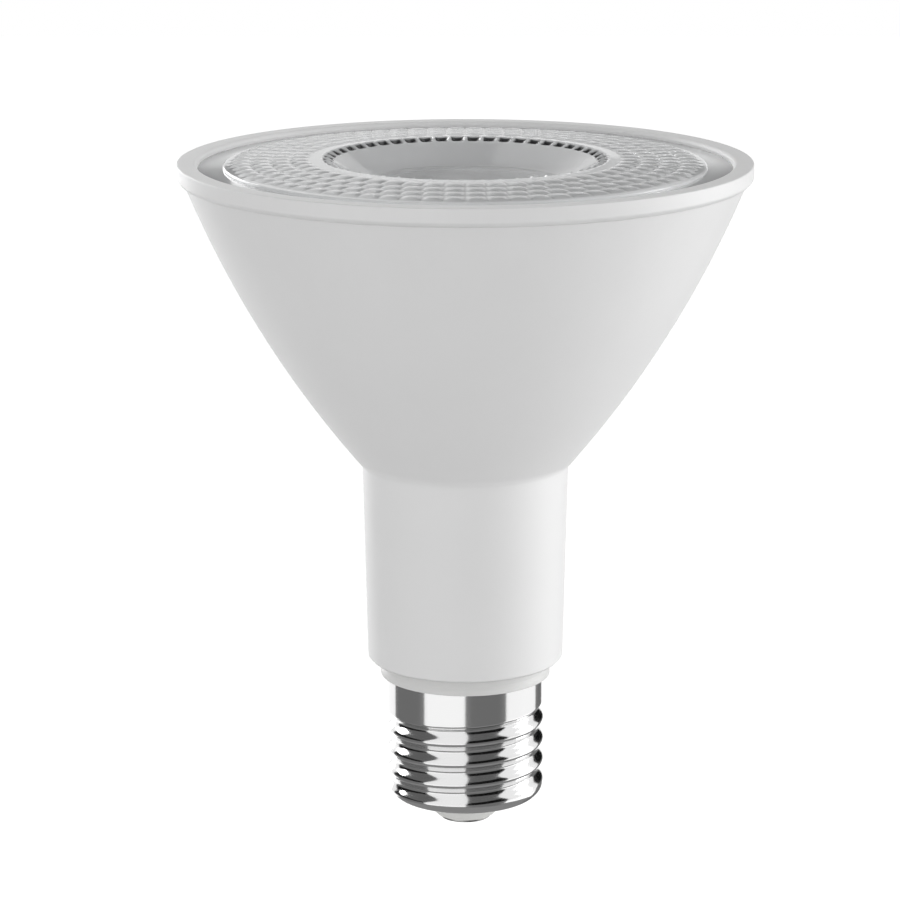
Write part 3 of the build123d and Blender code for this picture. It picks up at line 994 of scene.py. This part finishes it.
# The cards hang at three distances, so that no two share a place where they overlap: the back card at the
# card distance, and the dark cards and the bright strip at these shares of it
DARK_CARD_SHARE = 0.97
STRIP_SHARE = 0.94
# Each dark card's first and last azimuth, and the elevation of its black row's top
DARK_CARDS = {"left_card": (-126, -62, 20), "front_card": (0, 62, 42), "right_card": (127, 156, 28)}
# Elevations of a dark card's foot, its black row's foot and its top, as seen from a level on the shell
DARK_CARD_FOOT = -45
BLACK_ROW_FOOT = -4
DARK_CARD_TOP = 75
SHELL_LEVEL = 15 * MM
# Width of the paler edges of a dark card's lowest row, in degrees
PALE_EDGE = 8
# The bright strip's azimuths, and its ends over the lens
STRIP_AZIMUTHS = (-158, -110)
STRIP_RISES = (-10 * MM, 110 * MM)
# The back card's azimuths, its rows' ends over the lens, and half the width of its lowest row's middle
BACK_AZIMUTHS = (150, 202)
BACK_RISES = (45 * MM, 75 * MM, 150 * MM, 430 * MM)
BACK_MIDDLE = 58 * MM
# Radius of the card over the floor as a share of the floor's drop, and its lift off the floor
FLOOR_CARD_SHARE = 1.6
FLOOR_CARD_LIFT = 1 * MM
OVERHEAD_RADIUS = 220 * MM
OVERHEAD_RISE = 600 * MM


def glow(name, strength):
    """Plain glowing card of one strength."""
    material, tree = blank_material(name)
    level = (strength, strength, strength, 1.0)
    surface(tree, add(tree, "ShaderNodeEmission", {"Color": level, "Strength": 1.0}))
    return material


def faded_glow(name, start, end, left, right):
    """Glowing card whose strength goes from left to right between two places along X."""
    material, tree = blank_material(name)
    at = add(tree, "ShaderNodeTexCoord").outputs["Object"]
    across = add(tree, "ShaderNodeSeparateXYZ", {"Vector": at}).outputs["X"]
    level = add(
        tree,
        "ShaderNodeMapRange",
        {"Value": across, "From Min": start, "From Max": end, "To Min": left, "To Max": right},
    )
    surface(tree, add(tree, "ShaderNodeEmission", {"Strength": level.outputs["Result"]}))
    return material


def seen_directly(tree):
    """1 for camera, glossy and transmission rays, 0 for the light that falls on things."""
    ray = add(tree, "ShaderNodeLightPath").outputs
    first = add(
        tree, "ShaderNodeMath", {0: ray["Is Camera Ray"], 1: ray["Is Glossy Ray"]}, operation="ADD"
    )
    both = add(
        tree,
        "ShaderNodeMath",
        {0: first.outputs[0], 1: ray["Is Transmission Ray"]},
        operation="ADD",
        use_clamp=True,
    )
    return both.outputs[0]


def stage_object(name, mesh, *materials):
    """Make an object of the studio, which is no piece of the bulb."""
    data = bpy.data.meshes.new(name)
    mesh.to_mesh(data)
    mesh.free()
    for material in materials:
        data.materials.append(material)
    made = bpy.data.objects.new(name, data)
    bpy.context.scene.collection.objects.link(made)
    return made


def reflected_only(card):
    """Leave a card to the reflections: it lights, shades and hides nothing."""
    card.visible_camera = False
    card.visible_diffuse = False
    card.visible_transmission = False
    card.visible_shadow = False


def curved_card(distance, start, end, levels):
    """Upright card bent round the axis between two azimuths, with a row between each two levels."""
    mesh = bmesh.new()
    first = math.radians(start)
    column = [
        mesh.verts.new((distance * math.sin(first), -distance * math.cos(first), level)) for level in levels
    ]
    edges = [mesh.edges.new(pair) for pair in zip(column, column[1:])]
    bmesh.ops.spin(
        mesh,
        geom=column + edges,
        cent=(0, 0, 0),
        axis=(0, 0, 1),
        angle=math.radians(end - start),
        steps=CARD_STEPS,
    )
    return mesh


def softbox(name, azimuth, width, power):
    """Tall area light that faces the bulb's middle from an azimuth."""
    studio = settings().studio
    elevation = studio.softbox_elevation
    lamp = bpy.data.lights.new(name, "AREA")
    lamp.shape = "RECTANGLE"
    lamp.size = width
    lamp.size_y = studio.softbox_height
    lamp.energy = power
    made = bpy.data.objects.new(name, lamp)
    back = Vector(
        (
            math.sin(azimuth) * math.cos(elevation),
            -math.cos(azimuth) * math.cos(elevation),
            math.sin(elevation),
        )
    )
    middle = (cad_box[0] + cad_box[1]) / 2
    made.location = middle + back * studio.softbox_distance
    made.rotation_euler = back.to_track_quat("Z", "Y").to_euler()
    made.visible_camera = False
    bpy.context.scene.collection.objects.link(made)


class SPOT_BULB_OT_stage(bpy.types.Operator):
    """White floor, soft light, cards for the reflections, and the camera"""

    bl_idname = "spot_bulb.stage"
    bl_label = "Studio"

    def execute(self, context):
        studio = settings().studio
        scene = context.scene
        self.light_world(scene, studio)
        self.lay_floor(studio)
        self.hang_dark_cards(studio)
        self.hang_bright_strip(studio)
        self.hang_back_card(studio)
        self.lay_level_cards(studio)
        softbox("right_softbox", studio.right_azimuth, studio.right_width, studio.right_power)
        softbox("left_softbox", studio.left_azimuth, studio.left_width, studio.left_power)
        self.point_camera(scene, studio)
        scene.view_settings.view_transform = "Standard"
        return {"FINISHED"}

    def light_world(self, scene, studio):
        """White where it is seen; where it lights, strong up to the horizon and fading overhead."""
        world = bpy.data.worlds.new("white_studio")
        scene.world = world
        world.use_nodes = True
        tree = world.node_tree
        tree.nodes.clear()
        direction = add(tree, "ShaderNodeTexCoord").outputs["Generated"]
        height = add(tree, "ShaderNodeSeparateXYZ", {"Vector": direction}).outputs["Z"]
        level = add(
            tree,
            "ShaderNodeMapRange",
            {"Value": height, "To Min": studio.horizon, "To Max": studio.zenith},
        )
        soft = add(
            tree, "ShaderNodeBackground", {"Color": (1, 1, 1, 1), "Strength": level.outputs["Result"]}
        )
        white = add(tree, "ShaderNodeBackground", {"Color": (1, 1, 1, 1), "Strength": 1.0})
        mixed = add(
            tree,
            "ShaderNodeMixShader",
            {0: seen_directly(tree), 1: soft.outputs[0], 2: white.outputs[0]},
        )
        add(tree, "ShaderNodeOutputWorld", {"Surface": mixed.outputs[0]})

    def lay_floor(self, studio):
        """White paper floor: its own colour and shadow, lifted to white where it is seen."""
        material, tree = blank_material("white_paper_floor")
        paper = add(tree, "ShaderNodeBsdfDiffuse", {"Color": studio.paper})
        lift = add(tree, "ShaderNodeEmission", {"Color": (1, 1, 1, 1), "Strength": studio.floor_lift})
        dark = add(tree, "ShaderNodeEmission", {"Color": (0, 0, 0, 1), "Strength": 0.0})
        seen = add(
            tree,
            "ShaderNodeMixShader",
            {0: seen_directly(tree), 1: dark.outputs[0], 2: lift.outputs[0]},
        )
        surface(tree, add(tree, "ShaderNodeAddShader", {0: paper.outputs[0], 1: seen.outputs[0]}))
        mesh = bmesh.new()
        bmesh.ops.create_grid(mesh, x_segments=1, y_segments=1, size=studio.floor_reach)
        bmesh.ops.translate(mesh, verts=mesh.verts, vec=(0, 0, -studio.floor_drop))
        stage_object("floor", mesh, material)

    def hang_dark_cards(self, studio):
        """Cards that give the metal its dark upright bars: a black row between two dim ones."""
        distance = DARK_CARD_SHARE * studio.card_distance
        shades = [glow("low_card", 0.17), glow("black_card", 0.0), glow("high_card", 0.12)]
        edge = glow("card_edge", 0.2)
        for name, (start, end, black_top) in DARK_CARDS.items():
            elevations = (DARK_CARD_FOOT, BLACK_ROW_FOOT, black_top, DARK_CARD_TOP)
            levels = [SHELL_LEVEL + distance * math.tan(math.radians(up)) for up in elevations]
            mesh = curved_card(distance, start, end, levels)
            for face in mesh.faces:
                middle = face.calc_center_median()
                row = sum(middle.z > level for level in levels[1:-1])
                azimuth = math.degrees(math.atan2(middle.x, -middle.y))
                at_edge = row == 0 and min(azimuth - start, end - azimuth) < PALE_EDGE
                face.material_index = len(shades) if at_edge else row
            reflected_only(stage_object(name, mesh, *shades, edge))

    def hang_bright_strip(self, studio):
        """Bright strip at the left rear, which glints in the lens."""
        levels = [top_of("lens") + rise for rise in STRIP_RISES]
        mesh = curved_card(STRIP_SHARE * studio.card_distance, *STRIP_AZIMUTHS, levels)
        reflected_only(stage_object("bright_strip", mesh, glow("strip_light", 4.0)))

    def hang_back_card(self, studio):
        """Card behind the bulb that the near half of the lens mirrors, brighter to the left."""
        levels = [top_of("lens") + rise for rise in BACK_RISES]
        mesh = curved_card(studio.card_distance, *BACK_AZIMUTHS, levels)
        for face in mesh.faces:
            middle = face.calc_center_median()
            at_side = middle.z < levels[1] and abs(middle.x) > BACK_MIDDLE
            face.material_index = 2 if middle.z > levels[2] else int(at_side)
        shades = [
            faded_glow("back_grey", start=-60 * MM, end=20 * MM, left=1.15, right=0.65),
            glow("back_dark", 0.0),
            faded_glow("back_top", start=-60 * MM, end=0.0, left=1.1, right=0.1),
        ]
        reflected_only(stage_object("back_card", mesh, *shades))

    def lay_level_cards(self, studio):
        """Grey card over the floor for the metal, and a dark one overhead for the lens's slopes."""
        floor_radius = FLOOR_CARD_SHARE * studio.floor_drop
        floor_level = FLOOR_CARD_LIFT - studio.floor_drop
        overhead_level = top_of("lens") + OVERHEAD_RISE
        cards = {
            "floor_card": (floor_radius, floor_level, glow("floor_grey", 0.26)),
            "overhead_card": (OVERHEAD_RADIUS, overhead_level, glow("overhead_dark", 0.05)),
        }
        for name, (radius, level, shade) in cards.items():
            mesh = bmesh.new()
            bmesh.ops.create_circle(mesh, cap_ends=True, segments=64, radius=radius)
            bmesh.ops.translate(mesh, verts=mesh.verts, vec=(0, 0, level))
            reflected_only(stage_object(name, mesh, shade))

    def point_camera(self, scene, studio):
        """Camera at the photograph's point of view."""
        lens = bpy.data.cameras.new("photo_camera")
        lens.lens = studio.focal_length
        lens.sensor_width = 36.0
        lens.shift_x = -studio.frame_shift
        camera = bpy.data.objects.new("photo_camera", lens)
        camera.location = (0.0, -studio.camera_distance, studio.camera_height)
        camera.rotation_euler = (math.pi / 2 - studio.camera_tilt, 0.0, 0.0)
        scene.collection.objects.link(camera)
        scene.camera = camera


class SPOT_BULB_PT_panel(bpy.types.Panel):
    """Lists the steps and what can be changed"""

    bl_idname = "SPOT_BULB_PT_panel"
    bl_label = "Spot Bulb"
    bl_space_type = "VIEW_3D"
    bl_region_type = "UI"
    bl_category = "Spot Bulb"

    def draw(self, context):
        for step in STEPS:
            self.layout.operator(step.bl_idname, text=step.bl_label)
        for group in (settings().sizes, settings().colours, settings().studio):
            box = self.layout.box()
            for name in group.__annotations__:
                box.prop(group, name)


STEPS = (
    SPOT_BULB_OT_housing,
    SPOT_BULB_OT_bezel,
    SPOT_BULB_OT_lens,
    SPOT_BULB_OT_collar,
    SPOT_BULB_OT_screw_shell,
    SPOT_BULB_OT_insulator,
    SPOT_BULB_OT_contact,
    SPOT_BULB_OT_inside,
    SPOT_BULB_OT_stage,
)
CLASSES = (
    SpotBulbSizes,
    SpotBulbColours,
    SpotBulbStudio,
    SpotBulbSettings,
    *STEPS,
    SPOT_BULB_PT_panel,
)


def register():
    """Add the classes to Blender, and the settings to its scenes."""
    for cls in CLASSES:
        bpy.utils.register_class(cls)
    bpy.types.Scene.spot_bulb = PointerProperty(type=SpotBulbSettings)


def unregister():
    """Take the settings and the classes out again."""
    del bpy.types.Scene.spot_bulb
    for cls in reversed(CLASSES):
        bpy.utils.unregister_class(cls)


def main():
    """Build the bulb and its studio."""
    register()
    bpy.ops.spot_bulb.housing()
    bpy.ops.spot_bulb.bezel()
    bpy.ops.spot_bulb.lens()
    bpy.ops.spot_bulb.collar()
    bpy.ops.spot_bulb.screw_shell()
    bpy.ops.spot_bulb.insulator()
    bpy.ops.spot_bulb.contact()
    bpy.ops.spot_bulb.inside()
    bpy.ops.spot_bulb.stage()


if __name__ == "__main__":
    main()
